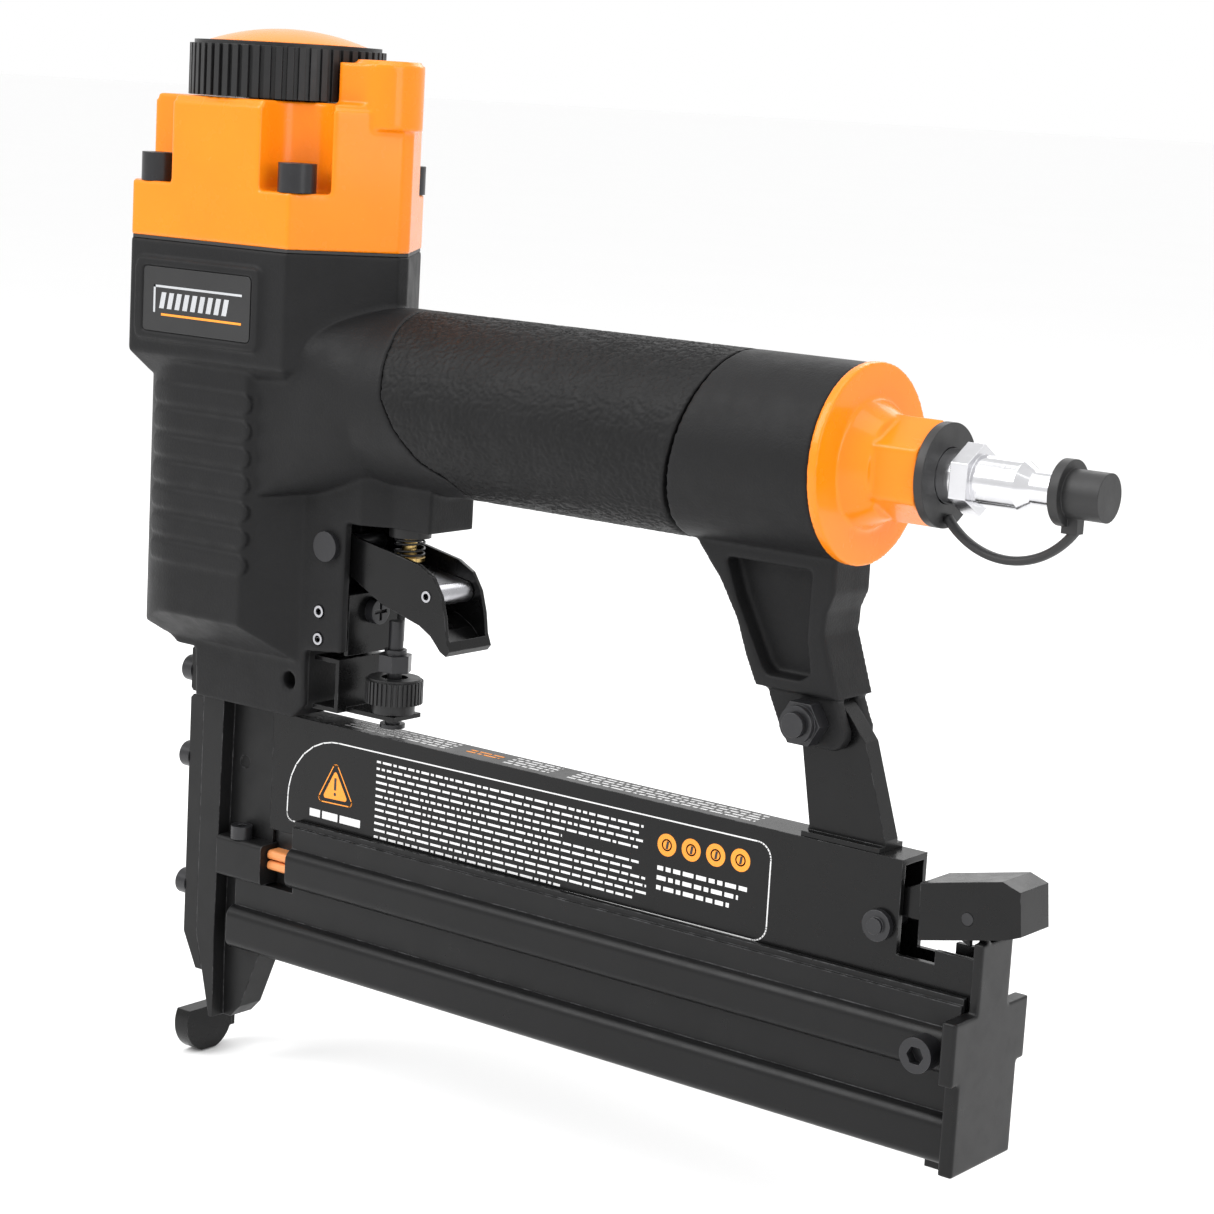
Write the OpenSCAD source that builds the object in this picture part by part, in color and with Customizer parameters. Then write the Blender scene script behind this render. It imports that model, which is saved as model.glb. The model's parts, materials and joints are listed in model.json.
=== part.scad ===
// Pneumatic nail gun: air-driven brad nailer with a side-opening magazine.
// The tool stands nose down. The origin is at the bottom of the contact foot,
// X runs towards the air plug, Y across the tool and Z up along the bore.
// Shapes are drawn from the bore axis, and place() sets them behind the foot.

/* [Head and cap] */
// Half the width of the head across its flat sides
head_half = 26.3; // [26:0.1:32]
// Height where the cap meets the housing
joint_z = 230.9; // [228:0.1:240]
// Height of the cap above the joint
cap_h = 37.5; // [36:0.5:44]
// Underside of the head above the barrel
head_z = 200; // [196:0.5:204]
// Distance from the bore axis back to the exhaust ring axis
ring_back = 8; // [4:0.5:12]
// Radius of the ribbed exhaust ring
ring_r = 26; // [22:0.5:27]
// Number of ribs on the exhaust ring
ring_ribs = 54; // [30:1:72]

/* [Barrel and cylinder] */
// Half the width of the barrel
barrel_half = 24; // [22.5:0.1:28]
// Radius of the cylinder bore
bore_r = 14; // [11:0.1:14.6]
// Wall of the cylinder sleeve
sleeve_wall = 2; // [1.2:0.1:2.4]
// Height of the piston
piston_h = 12; // [9:0.5:14]
// Stroke of the piston and driver
stroke = 74; // [60:1:76]

/* [Handle and air inlet] */
// Height of the handle axis
handle_z = 193.7; // [190:0.1:197]
// Radius of the rubber grip
grip_r = 23.5; // [23:0.1:26]
// Thickness of the rubber on the grip
grip_wall = 3.5; // [3:0.1:5]
// Distance from the bore axis back to the rear face of the handle
handle_end = 196.2; // [190:0.1:215]
// Radius of the air plug body
plug_r = 5.9; // [5.5:0.05:6.1]
// Across the flats of the air plug hexagon
plug_af = 14.3; // [13:0.1:15]
// Radius of the dust cap
dust_cap_r = 5.6; // [5.5:0.1:6.5]

/* [Trigger and safety] */
// Half the width of the trigger
trigger_half = 8.5; // [7:0.1:8.8]
// Thickness of the pressed sheets
sheet = 1.2; // [0.8:0.1:1.5]
// Travel of the contact foot
foot_travel = 9; // [5:0.5:9]
// Radius of the depth wheel
wheel_r = 7.8; // [6.5:0.1:7.9]
// Height of the depth wheel
wheel_h = 9.5; // [6:0.5:9.5]
// Radius of the depth rod
rod_r = 2; // [1.5:0.1:2.4]

/* [Nose and magazine] */
// Half the width of the nose
nose_half = 8.6; // [8:0.1:9]
// Thickness of the front door plate
door_t = 5; // [4:0.5:6]
// Height of the top of the magazine
mag_top = 103.9; // [100:0.1:104.2]
// Half the width of the fixed magazine body
mag_half = 5.5; // [5:0.1:6.5]
// Distance from the bore axis back to the end of the magazine
mag_end = 242; // [235:1:270]
// Half the width of the long bulges on the magazine slide
bulge_half = 10.8; // [10.6:0.1:13]
// Half the width of the fastener track
track_half = 3.2; // [3:0.1:3.4]
// Wall of the magazine slide
slide_wall = 1.6; // [1.2:0.1:2]

/* [Hidden] */
$fn = 48;

// Clearances
fit = 0.05;
gap = 0.3;
slip = 0.25;

// Foot, nose and driver line
foot_half = 9;
foot_t = 5;
bore_x = 11.5;
foot_front = -bore_x - foot_t / 2;
nose_front = -7;
nose_rear = 0.8;
nose_neck = 16.9;
nose_top = 118;
nose_screw_z = 110.9;
neck_half = 4.2;
arm_screw_z = [97, 64];
arm_screw_x = -3.5;
door_screw_z = [86.3, 49.5];
nose_low = 13.4;
door_top = 104.6;
door_front = nose_front - door_t;
channel = 0.9;
blade_t = 1.5;
blade_half = track_half - slip;
screw_side = 5.4;

// Head and cap
head_front = -29;
head_chamfer = 7;
head_side_rear = 34.9;
head_tail = 51.8;
head_tail_half = 2;
cap_top = joint_z + cap_h;
gasket_t = 0.8;
screw_x = [ring_back - 25, ring_back + 25];
screw_y = head_half - 5;
pocket_z = joint_z + 14.5;
pocket_r = 9;
boss_x = 44;
boss_r = 9.3;
boss_top = cap_top + 11.6;
rib_h = 0.6;
rib_pitch = 7.15;
dome_h = 3.9;
ring_z0 = cap_top + gap;
ring_z1 = cap_top + 14.7;
boss_z = cap_top - 6;

// Cylinder
chamber_gap = 2.6;
sleeve_r = bore_r + sleeve_wall;
chamber_r = sleeve_r + chamber_gap;
sleeve_z0 = 126;
sleeve_z1 = joint_z + 0.5;
bumper_h = 13;
piston_z = sleeve_z0 + bumper_h + gap + stroke;
blade_tip = nose_low - 1 + stroke;

// Handle and inlet
tube_r = grip_r - grip_wall;
handle_bore = tube_r - 5;
grip_x0 = 55.7;
grip_x1 = 162.5;
grip_cut = 11.5;
grip_edge = [
    [61, handle_z + grip_r + 1], [64.1, handle_z + 15.5], [66.5, handle_z + 2],
    [71, handle_z - 5.5], [77, handle_z - 13], [84, handle_z - 16.8], [87, handle_z - grip_r - 1],
    [grip_x0 - 9, handle_z - grip_r - 1], [grip_x0 - 9, handle_z + grip_r + 1]
];
plug_x = handle_end + 23;

// Trigger and valve
pin_x = 41.3;
pin_z = 153.7;
cheek_half = 13;
cheek_rear = 46.9;
cheek_z = 124.4;
slot_half = 10;
block_z = 160.5;
block_rear = 72.3;
block_half = 8.8;
valve_x = 58.3;
rod_x = 55;
trip_x = 72.1;
trip_z = 144.3;
plate_x = 45.4;
web_x = 42;
bracket_z0 = 108.4;
bracket_z1 = 122.9;
arm_band = 3;
seat_z = 137;
wheel_z = bracket_z0 + sheet + 0.1;
rod_top = 134.4;
arm_y = nose_half + slip;

// Magazine
body_z = 70.9;
body_rear = mag_end - 23.7;
notch_rear = mag_end - 13.3;
notch_z = 81.1;
slide_z0 = 35.5;
lip_h = 3;
lip_out = 2.8;
window_x = 28;
latch_x = mag_end - 5;
latch_z = 94;
pin_hook_x = mag_end - 28.8;
pin_hook_z = 87.3;
cap_x0 = mag_end - 3.7;
tongue_x = mag_end - 16;
end_screw_x = mag_end - 10.6;
end_screw_z = 62.2;
window_front = 6.5;
upper_z0 = 57;
bulge_h = 12;
clamp_z0 = 55.4;
clamp_z1 = 66.8;
clamp_half = 10;
clamp_screw_y = 7.4;
bolt_x = 190.4;
bolt_z = 132.1;
leg_half = 8;
bracket_half = 2.8;

module place() {
    translate([bore_x, 0, 0]) children();
}

module span(x0, x1, y0, y1, z0, z1) {
    translate([x0, y0, z0]) cube([x1 - x0, y1 - y0, z1 - z0]);
}

module z_post(r, z0, z1, x = 0, y = 0) {
    translate([x, y, z0]) cylinder(r = r, h = z1 - z0);
}

module x_post(r, x0, x1, y = 0, z = 0) {
    translate([x0, y, z]) rotate([0, 90, 0]) cylinder(r = r, h = x1 - x0);
}

module y_post(r, y0, y1, x = 0, z = 0) {
    translate([x, y1, z]) rotate([90, 0, 0]) cylinder(r = r, h = y1 - y0);
}

// Outline drawn in X and Z, from y0 to y1
module side_slab(y0, y1) {
    translate([0, y1, 0]) rotate([90, 0, 0]) linear_extrude(y1 - y0) children();
}

// Outline drawn in Y and Z, from x0 to x1
module cross_slab(x0, x1) {
    translate([x0, 0, 0]) rotate([90, 0, 90]) linear_extrude(x1 - x0) children();
}

module round_rect(x0, x1, y0, y1, r) {
    translate([x0 + r, y0]) square([x1 - x0 - 2 * r, y1 - y0]);
    translate([x0, y0 + r]) square([x1 - x0, y1 - y0 - 2 * r]);
    for (x = [x0 + r, x1 - r], y = [y0 + r, y1 - r]) translate([x, y]) circle(r);
}

module tube(r_out, r_in, h) {
    difference() {
        cylinder(r = r_out, h = h);
        translate([0, 0, -1]) cylinder(r = r_in, h = h + 2);
    }
}

// Socket head screw along Z: the head stands on z = 0 and the shank runs down
module socket_screw(d, head_r, head_h, length, af) {
    difference() {
        union() {
            cylinder(r = head_r, h = head_h);
            translate([0, 0, -length]) cylinder(d = d, h = length + 0.5);
        }
        translate([0, 0, head_h * 0.45]) cylinder(d = af / cos(30), h = head_h, $fn = 6);
    }
}

// Outline of a ring of ribs: outer radius, number of ribs, depth of the grooves
module ribbed(r, n, depth) {
    step = 360 / n;
    turns = [0, 0.55, 0.6, 0.95];
    radii = [r, r, r - depth, r - depth];
    polygon([
        for (i = [0 : n - 1], k = [0 : 3])
            radii[k] * [cos(step * (i + turns[k])), sin(step * (i + turns[k]))]
    ]);
}

// Plan of the head, drawn in by inset
module head_plan(inset = 0) {
    side = [
        [head_front + inset, head_half - head_chamfer - 0.41 * inset],
        [head_front + head_chamfer + 0.41 * inset, head_half - inset],
        [head_side_rear - 0.58 * inset, head_half - inset],
        [head_tail - inset, head_tail_half]
    ];
    polygon(concat(side, [for (i = [3 : -1 : 0]) [side[i].x, -side[i].y]]));
}

module barrel_plan() {
    translate([head_front + barrel_half, 0]) circle(barrel_half);
    polygon([
        [head_front + barrel_half, -barrel_half], [20, -barrel_half], [32, -cheek_half],
        [cheek_rear, -cheek_half], [cheek_rear, cheek_half], [32, cheek_half],
        [20, barrel_half], [head_front + barrel_half, barrel_half]
    ]);
}

module barrel() {
    intersection() {
        translate([0, 0, 100]) linear_extrude(head_z - 100) barrel_plan();
        side_slab(-40, 40) polygon([
            [head_front - 1, head_z], [head_front - 1, 131], [-14, 119], [nose_front, 119],
            [nose_front, 105.4], [30, 105.4], [34, 109.5], [34, cheek_z],
            [cheek_rear, cheek_z + 1.4], [cheek_rear, head_z]
        ]);
        cross_slab(-40, 60) polygon([
            [-barrel_half - 1, 210], [-barrel_half - 1, 131], [-cheek_half, 121],
            [-cheek_half + 1, 100], [cheek_half - 1, 100], [cheek_half, 121],
            [barrel_half + 1, 131], [barrel_half + 1, 210]
        ]);
    }
}

module head() {
    translate([0, 0, head_z]) linear_extrude(joint_z - gasket_t - head_z) head_plan();
    hull() {
        translate([0, 0, head_z - 0.1]) linear_extrude(0.2) head_plan();
        translate([0, 0, head_z - 6]) linear_extrude(0.2) head_plan(6);
    }
}

// Raised frame for the badge, and the grip ribs on the barrel
module badge_frame(side) {
    scale([1, side, 1]) difference() {
        side_slab(-head_half - 1.2, -head_half + 2)
            round_rect(-19.2, 26.6, head_z + 3.6, joint_z - 5.6, 2.5);
        side_slab(-head_half - 2, -head_half - 0.2)
            round_rect(-16.4, 23.8, head_z + 5.6, joint_z - 7.6, 1.5);
    }
}

// Raised bars that follow the side of the barrel
module barrel_ribs(side) {
    scale([1, side, 1]) intersection() {
        side_slab(-barrel_half - rib_h, 0) for (i = [0 : 6]) {
            round_rect(-17, 22, 144 + i * rib_pitch, 149 + i * rib_pitch, 2.4);
        }
        translate([0, 0, 130]) linear_extrude(80) union() {
            translate([head_front + barrel_half, 0]) circle(barrel_half + rib_h);
            translate([head_front + barrel_half, -barrel_half - rib_h]) square([40, 20]);
        }
    }
}

module neck() {
    hull() {
        x_post(grip_r, grip_x0 - 1.5, grip_x0 - 0.5, 0, handle_z);
        span(16, 22, -barrel_half + 2, barrel_half - 2, 165, head_z + 10);
    }
    x_post(tube_r, 20, handle_end, 0, handle_z);
    // Front of the handle, level with the rubber that meets it along a curve
    intersection() {
        x_post(grip_r, grip_x0 - 1, 90, 0, handle_z);
        translate([-gap, 0, 0]) side_slab(-grip_r, grip_r) polygon(grip_edge);
    }
}

// Cast cup behind the grip, cut on the slant like the end of the rubber
module cup() {
    difference() {
        x_post(grip_r, grip_x1 - 16, handle_end, 0, handle_z);
        side_slab(-40, 40) polygon([
            [100, handle_z - grip_r - 5], [grip_x1 - grip_cut + gap, handle_z - grip_r - 5],
            [grip_x1 + gap, handle_z + grip_r + 0.1], [100, handle_z + grip_r + 5]
        ]);
    }
}

module leg() {
    side_slab(-leg_half, leg_half) polygon([
        [handle_end - 44, handle_z - 18], [157.5, 169], [163.4, 162.2], [168.8, 153.5],
        [172.1, 145.1], [175.3, 138.6], [198.6, 138.6], [193.6, 153], [193.8, 158.4],
        [195.7, 163.1], [handle_end - 0.6, handle_z - 18]
    ]);
    side_slab(-leg_half + 1.4, leg_half - 1.4) union() {
        polygon([[177.6, 139], [182.9, 127.5], [185.6, 126], [198, 126], [200.6, 130.5], [197.1, 139]]);
        translate([196.6, 130]) circle(4);
    }
}

module leg_pockets() {
    for (side = [-1, 1]) {
        scale([1, side, 1]) side_slab(-leg_half - 1, -2.6) polygon([
            [164.6, 168], [168.2, 158.9], [176.6, 143.4], [178.6, 141.6], [188, 141.6],
            [190.6, 143.6], [188.9, 152], [189.2, 168]
        ]);
    }
}

module housing() {
    color([0.07, 0.07, 0.075]) place() union() {
        casting();
        guide_rib();
    }
}

module trigger_block() {
    translate([0, 0, block_z]) linear_extrude(handle_z - 12 - block_z) polygon([
        [cheek_rear - 2, -cheek_half], [52, -cheek_half], [60, -block_half], [block_rear, -block_half],
        [block_rear, block_half], [60, block_half], [52, cheek_half], [cheek_rear - 2, cheek_half]
    ]);
}

module casting() {
    difference() {
        union() {
            barrel();
            head();
            for (side = [1, -1]) badge_frame(side);
            for (side = [1, -1]) barrel_ribs(side);
            neck();
            cup();
            leg();
            trigger_block();
        }
        leg_pockets();
        // Cylinder chamber, sleeve seat and driver passage
        z_post(chamber_r, 128, joint_z + 1);
        z_post(sleeve_r + fit, sleeve_z0, 129);
        z_post(4.5, 100, sleeve_z0 + 1);
        // Air chamber in the handle
        x_post(handle_bore, 10, handle_end + 1, 0, handle_z);
        // Trigger slot between the cheeks
        span(32, cheek_rear + 1, -slot_half, slot_half, 100, block_z);
        // Trigger valve bore
        z_post(7, block_z - 1, handle_z, valve_x);
        y_post(2.5 + fit, -40, 40, pin_x, pin_z);
        for (z = [135.8, 128.4]) y_post(1.6, -40, 40, 38.8, z);
        y_post(2.3, -40, 40, 28.5, 115.5);
        // Room for the safety arm on the far side
        span(-9, 35, arm_y - 0.3, arm_y + 1.8, 100, bracket_z0 + arm_band + foot_travel + gap);
        // Seat of the nose, with the holes of its two long screws
        span(nose_front - 1, nose_neck, -nose_half - fit, nose_half + fit, 100, nose_top);
        for (y = [-1, 1]) x_post(2 + fit, nose_neck - 1, nose_neck + 9, y * screw_side, nose_screw_z);
        // Clevis slot and bolt hole in the leg
        span(150, 210, -bracket_half - fit, bracket_half + fit, 120, 138);
        y_post(3 + fit, -20, 20, bolt_x, bolt_z);
        for (x = screw_x, y = [-1, 1]) z_post(3 + fit, joint_z - 18, joint_z + 1, x, y * screw_y);
    }
}

// Ribs between the cheeks that carry the guide plate and seat the safety spring
module guide_rib() {
    difference() {
        union() {
            span(web_x + sheet + gap, plate_x, -slot_half - 0.1, slot_half + 0.1, 133.6, 141);
            span(31.5, 41, -slot_half - 0.1, slot_half + 0.1, seat_z, 140);
        }
        x_post(1.8 + fit, 30, 60, 0, 136);
    }
}

module badge_plate() {
    color([0.62, 0.63, 0.65]) place() for (side = [1, -1]) {
        scale([1, side, 1]) side_slab(-head_half - 0.9, -head_half - 0.2)
            round_rect(-16.1, 23.5, head_z + 5.9, joint_z - 7.9, 1.3);
    }
}

module cap_gasket() {
    color([0.12, 0.12, 0.12]) place() difference() {
        translate([0, 0, joint_z - gasket_t]) linear_extrude(gasket_t) head_plan(0.3);
        z_post(chamber_r, joint_z - 3, joint_z + 1);
        for (x = screw_x, y = [-1, 1]) z_post(3 + fit, joint_z - 3, joint_z + 1, x, y * screw_y);
    }
}

// Pockets that sink the cap screws into the four corners
module cap_pockets() {
    for (x = screw_x, y = [-1, 1]) {
        z_post(pocket_r, pocket_z, cap_top + 20, x, y * screw_y);
        z_post(3 + fit, joint_z - 1, pocket_z + 1, x, y * screw_y);
    }
    for (y = [-1, 1]) scale([1, y, 1]) {
        span(screw_x[0] - 30, screw_x[0], screw_y - pocket_r, 60, pocket_z, cap_top + 20);
        span(screw_x[0] - 1, screw_x[0] + pocket_r, screw_y, 60, pocket_z, cap_top + 20);
        span(screw_x[1] - pocket_r, screw_x[1] + pocket_r, screw_y, 60, pocket_z, cap_top + 20);
    }
}

module head_cap() {
    color([0.93, 0.42, 0.05]) place() difference() {
        union() {
            translate([0, 0, joint_z]) linear_extrude(cap_h - 1.5) head_plan();
            translate([0, 0, cap_top - 1.5]) linear_extrude(1.5) head_plan(1);
            z_post(boss_r, boss_z, boss_top - 1, boss_x);
            z_post(boss_r - 1, boss_top - 1.1, boss_top, boss_x);
            span(boss_x - 9, boss_x, -boss_r, boss_r, boss_z, boss_top - 1);
        }
        cap_pockets();
        // Head valve chamber, exhaust way and ring seat
        z_post(chamber_r, joint_z - 1, cap_top - 12);
        z_post(11, cap_top - 14, cap_top + 1, ring_back);
    }
}

module cap_screws() {
    color([0.06, 0.06, 0.065]) place() for (x = screw_x, y = [-1, 1]) {
        translate([x, y * screw_y, pocket_z]) socket_screw(6, 5, 7.5, 32, 5);
    }
}

module exhaust_ring() {
    color([0.06, 0.06, 0.065]) place() translate([ring_back, 0, 0]) difference() {
        union() {
            translate([0, 0, ring_z0]) linear_extrude(ring_z1 - ring_z0 - 1)
                ribbed(ring_r, ring_ribs, 1);
            z_post(ring_r - 1.2, ring_z1 - 1.1, ring_z1);
        }
        z_post(4 + fit, ring_z0 - 1, ring_z1 + 1);
        difference() {
            z_post(ring_r - 4, ring_z0 - 1, ring_z1 - 4);
            z_post(7, ring_z0 - 2, ring_z1);
        }
        // Exhaust port towards the front
        span(-40, -10, -9, 9, ring_z0 + 1.5, ring_z1 - 5);
    }
}

module exhaust_dome() {
    color([0.93, 0.42, 0.05]) place() translate([ring_back, 0, ring_z1]) difference() {
        rotate_extrude() intersection() {
            translate([0, dome_h - 60]) circle(60, $fn = 240);
            square([ring_r - 5, 10]);
        }
        translate([0, 0, -1]) cylinder(r = 4.6, h = 2);
    }
}

// Shoulder screw that holds the ring and lets it turn
module exhaust_screw() {
    color([0.5, 0.5, 0.52]) place() translate([ring_back, 0, 0]) {
        z_post(4, ring_z0 - 0.2, ring_z1);
        difference() {
            z_post(11 - 0.03, cap_top - 3, ring_z0 - 0.1);
            for (a = [0 : 60 : 300]) rotate(a) z_post(2.2, cap_top - 4, cap_top + 3, 7.4);
        }
    }
}

module head_valve() {
    color([0.75, 0.74, 0.7]) place() difference() {
        union() {
            z_post(chamber_r - 0.1, joint_z + 1, joint_z + 7);
            z_post(10, joint_z + 1, joint_z + 15);
        }
        z_post(7, joint_z + 9, joint_z + 16);
    }
}

module head_valve_spring() {
    color([0.7, 0.7, 0.72]) place() translate([0, 0, joint_z + 7.1])
        tube(14.5, 12.5, cap_top - 12 - joint_z - 7.3);
}

module cylinder_sleeve() {
    color([0.7, 0.71, 0.72]) place() difference() {
        z_post(sleeve_r, sleeve_z0 + 0.05, sleeve_z1);
        z_post(bore_r, sleeve_z0 - 1, sleeve_z1 + 1);
        for (a = [30 : 60 : 330]) rotate(a) x_post(1.5, bore_r - 2, sleeve_r + 2, 0, 138);
    }
}

// Seals of the sleeve and of the inlet cap
module o_rings() {
    color([0.05, 0.05, 0.05]) place() {
        for (z = [131, sleeve_z1 - 12]) {
            translate([0, 0, z]) tube(chamber_r - 0.05, sleeve_r + 0.02, 2.4);
        }
        translate([handle_end - 10.8, 0, handle_z]) rotate([0, 90, 0])
            tube(handle_bore - 0.02, handle_bore - 1.95, 2.6);
    }
}

module piston() {
    color([0.6, 0.61, 0.63]) place() difference() {
        z_post(bore_r - fit, piston_z, piston_z + piston_h);
        difference() {
            z_post(bore_r + 1, piston_z + 5, piston_z + 8);
            z_post(bore_r - 2, piston_z + 4, piston_z + 9);
        }
        span(-blade_t / 2, blade_t / 2, -blade_half, blade_half, piston_z - 1, piston_z + 9);
        z_post(9, piston_z + 9.5, piston_z + piston_h + 1);
    }
}

module piston_ring() {
    color([0.05, 0.05, 0.05]) place() translate([0, 0, piston_z + 5.2])
        tube(bore_r - 0.02, bore_r - 1.95, 2.6);
}

module driver_blade() {
    color([0.72, 0.73, 0.75]) place()
        span(-blade_t / 2, blade_t / 2, -blade_half + 0.02, blade_half - 0.02, blade_tip, piston_z + 9);
}

module bumper() {
    color([0.1, 0.1, 0.1]) place() difference() {
        z_post(bore_r - 0.1, sleeve_z0 + 0.2, sleeve_z0 + bumper_h);
        z_post(4.5, sleeve_z0 - 1, sleeve_z0 + bumper_h + 1);
    }
}

// Rubber sleeve: open below for the trigger block and cut on the slant behind
module grip_sleeve() {
    color([0.045, 0.045, 0.045]) place() difference() {
        x_post(grip_r, grip_x0, grip_x1, 0, handle_z);
        x_post(tube_r + fit, grip_x0 - 1, grip_x1 + 1, 0, handle_z);
        side_slab(-40, 40) polygon(grip_edge);
        span(grip_x0 - 1, block_rear + gap, -block_half - gap, block_half + gap, 150, handle_z - 12);
        side_slab(-40, 40) polygon([
            [grip_x1 - grip_cut, handle_z - grip_r], [grip_x1, handle_z + grip_r],
            [grip_x1 + 20, handle_z + grip_r + 1], [grip_x1 + 20, handle_z - grip_r - 1],
            [grip_x1 - grip_cut, handle_z - grip_r - 1]
        ]);
    }
}

module inlet_cap() {
    color([0.93, 0.42, 0.05]) place() difference() {
        union() {
            x_post(grip_r + 0.4, handle_end, handle_end + 2.5, 0, handle_z);
            translate([handle_end + 2.4, 0, handle_z]) rotate([0, 90, 0])
                cylinder(r1 = 15.5, r2 = 12, h = 6.5);
            translate([handle_end + 2, 0, handle_z]) rotate([0, 90, 0])
                cylinder(r = 12.4, h = 18.8, $fn = 6);
            x_post(handle_bore - 0.05, handle_end - 14, handle_end + 0.1, 0, handle_z);
        }
        x_post(6.5, handle_end - 16, handle_end + 30, 0, handle_z);
        difference() {
            x_post(handle_bore + 1, handle_end - 11, handle_end - 8, 0, handle_z);
            x_post(handle_bore - 2, handle_end - 12, handle_end - 7, 0, handle_z);
        }
    }
}

module air_plug() {
    color([0.8, 0.81, 0.82]) place() translate([plug_x, 0, handle_z]) rotate([0, 90, 0]) difference() {
        union() {
            translate([0, 0, -18]) cylinder(r = 6.45, h = 22.5);
            translate([0, 0, 4.4]) cylinder(d = plug_af / cos(30), h = 4.5, $fn = 6);
            translate([0, 0, 8.8]) cylinder(r = plug_r, h = 11.2);
            translate([0, 0, 20]) cylinder(r1 = plug_r, r2 = 4, h = 2.8);
            translate([0, 0, 22.7]) cylinder(r = 4, h = 6);
            translate([0, 0, 28.5]) cylinder(r = 4.6, h = 8);
        }
        translate([0, 0, -19]) cylinder(r = 2.6, h = 60);
    }
}

module dust_cap_ring() {
    color([0.05, 0.05, 0.05]) place() translate([handle_end + 21.1, 0, handle_z])
        rotate([0, 90, 0]) tube(12.2, 6.6, 2.2);
}

// Strap that ties the dust cap to its ring, hanging in an arc below the plug
module dust_cap_strap() {
    color([0.05, 0.05, 0.05]) place() side_slab(-1.6, 1.6) difference() {
        translate([plug_x + 16.5, handle_z + 3]) circle(21.6);
        translate([plug_x + 16.5, handle_z + 3]) circle(19.4);
        translate([plug_x - 30, handle_z - 9]) square([100, 60]);
        translate([plug_x - 30, handle_z - 40]) square([30.3, 60]);
    }
}

module dust_cap() {
    color([0.05, 0.05, 0.05]) place() difference() {
        union() {
            x_post(dust_cap_r, plug_x + 30.5, plug_x + 41, 0, handle_z);
            x_post(dust_cap_r + 2, plug_x + 29.6, plug_x + 32, 0, handle_z);
            span(plug_x + 30.6, plug_x + 34.5, -1.6, 1.6, handle_z - 9, handle_z - 5);
        }
        x_post(4.65, plug_x + 29, plug_x + 37.2, 0, handle_z);
    }
}

module valve_bushing() {
    color([0.55, 0.45, 0.2]) place() difference() {
        union() {
            z_post(7 - fit, block_z + 0.1, handle_z - handle_bore + 1.5, valve_x);
            z_post(5.6, block_z - 3, block_z + 0.2, valve_x);
        }
        z_post(2 + fit, block_z - 4, handle_z, valve_x);
    }
}

module valve_stem() {
    color([0.75, 0.6, 0.3]) place() {
        z_post(2, 151.2, handle_z - handle_bore + 1.5, valve_x);
        z_post(4.2, 151.2, 152.3, valve_x);
        z_post(4.5, handle_z - handle_bore + 1.6, handle_z - handle_bore + 4.5, valve_x);
        z_post(2, handle_z - handle_bore + 1, handle_z - handle_bore + 2, valve_x);
    }
}

module valve_spring() {
    color([0.3, 0.3, 0.32]) place() translate([valve_x, 0, 152.4]) tube(4.4, 3.4, 4.8);
}

// Pressed trigger: two cheeks joined by a finger plate along the lower edge
module trigger_outline() {
    polygon([
        [pin_x - 4, pin_z + 2], [pin_x - 2, pin_z + 4], [pin_x + 2, pin_z + 4], [48.8, 156],
        [58.8, 154.2], [69, 152.2], [74, 149.6], [77, 145], [78.6, 139.5], [79.4, 134],
        [80.6, 131], [79.5, 129.6], [77.5, 130.6], [74, 134.2], [70, 136.4], [57, 140],
        [49, 144], [pin_x - 4, pin_z - 3]
    ]);
}

module trigger() {
    color([0.05, 0.05, 0.055]) place() difference() {
        side_slab(-trigger_half, trigger_half) trigger_outline();
        side_slab(-trigger_half + sheet, trigger_half - sheet) polygon([
            [30, 170], [30, 140], [44, 146.5], [49.5, 145.3], [57.4, 141.2], [70.4, 137.7],
            [74.8, 135.3], [77.6, 132.6], [81, 134], [90, 150], [90, 170]
        ]);
        // Way for the depth rod through the finger plate
        span(rod_x - 4, rod_x + 4.5, -rod_r - 1.2, rod_r + 1.2, 130, 150);
        y_post(2.5 + fit, -20, 20, pin_x, pin_z);
        y_post(1.5 + fit, -20, 20, trip_x, trip_z);
    }
}

module trigger_pin() {
    color([0.1, 0.1, 0.11]) place() {
        y_post(2.5, -cheek_half - 1.2, cheek_half, pin_x, pin_z);
        y_post(4, -cheek_half - 1.6, -cheek_half - 0.02, pin_x, pin_z);
    }
}

// Lever inside the trigger that passes the rod's lift on to the valve stem
module trip_lever() {
    color([0.5, 0.5, 0.52]) place() difference() {
        side_slab(-trigger_half + sheet + 0.4, trigger_half - sheet - 0.4) union() {
            translate([trip_x, trip_z]) circle(2.8);
            polygon([
                [trip_x, trip_z + 2.8], [60, 149.2], [52, 149.2], [51.4, 147.8], [60, 146.9],
                [trip_x - 1, trip_z - 2.6]
            ]);
        }
        y_post(1.5 + fit, -20, 20, trip_x, trip_z);
    }
}

module roll_pin(r, y0, y1, x, z) {
    difference() {
        y_post(r, y0, y1, x, z);
        y_post(r * 0.6, y0 - 1, y1 + 1, x, z);
    }
}

module trip_pin() {
    color([0.35, 0.35, 0.37]) place()
        roll_pin(1.5, -trigger_half - 0.3, trigger_half + 0.3, trip_x, trip_z);
}

module cheek_pins() {
    color([0.35, 0.35, 0.37]) place() for (z = [135.8, 128.4]) {
        for (y = [-cheek_half - 0.2, slot_half + 0.2]) roll_pin(1.58, y, y + 3, 38.8, z);
    }
}

module guide_plate() {
    color([0.06, 0.06, 0.065]) place() difference() {
        span(plate_x + 0.02, plate_x + sheet, -slot_half + gap, slot_half - gap, 124.6, 141);
        x_post(1.9, plate_x - 1, plate_x + 3, 0, 136);
    }
}

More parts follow.
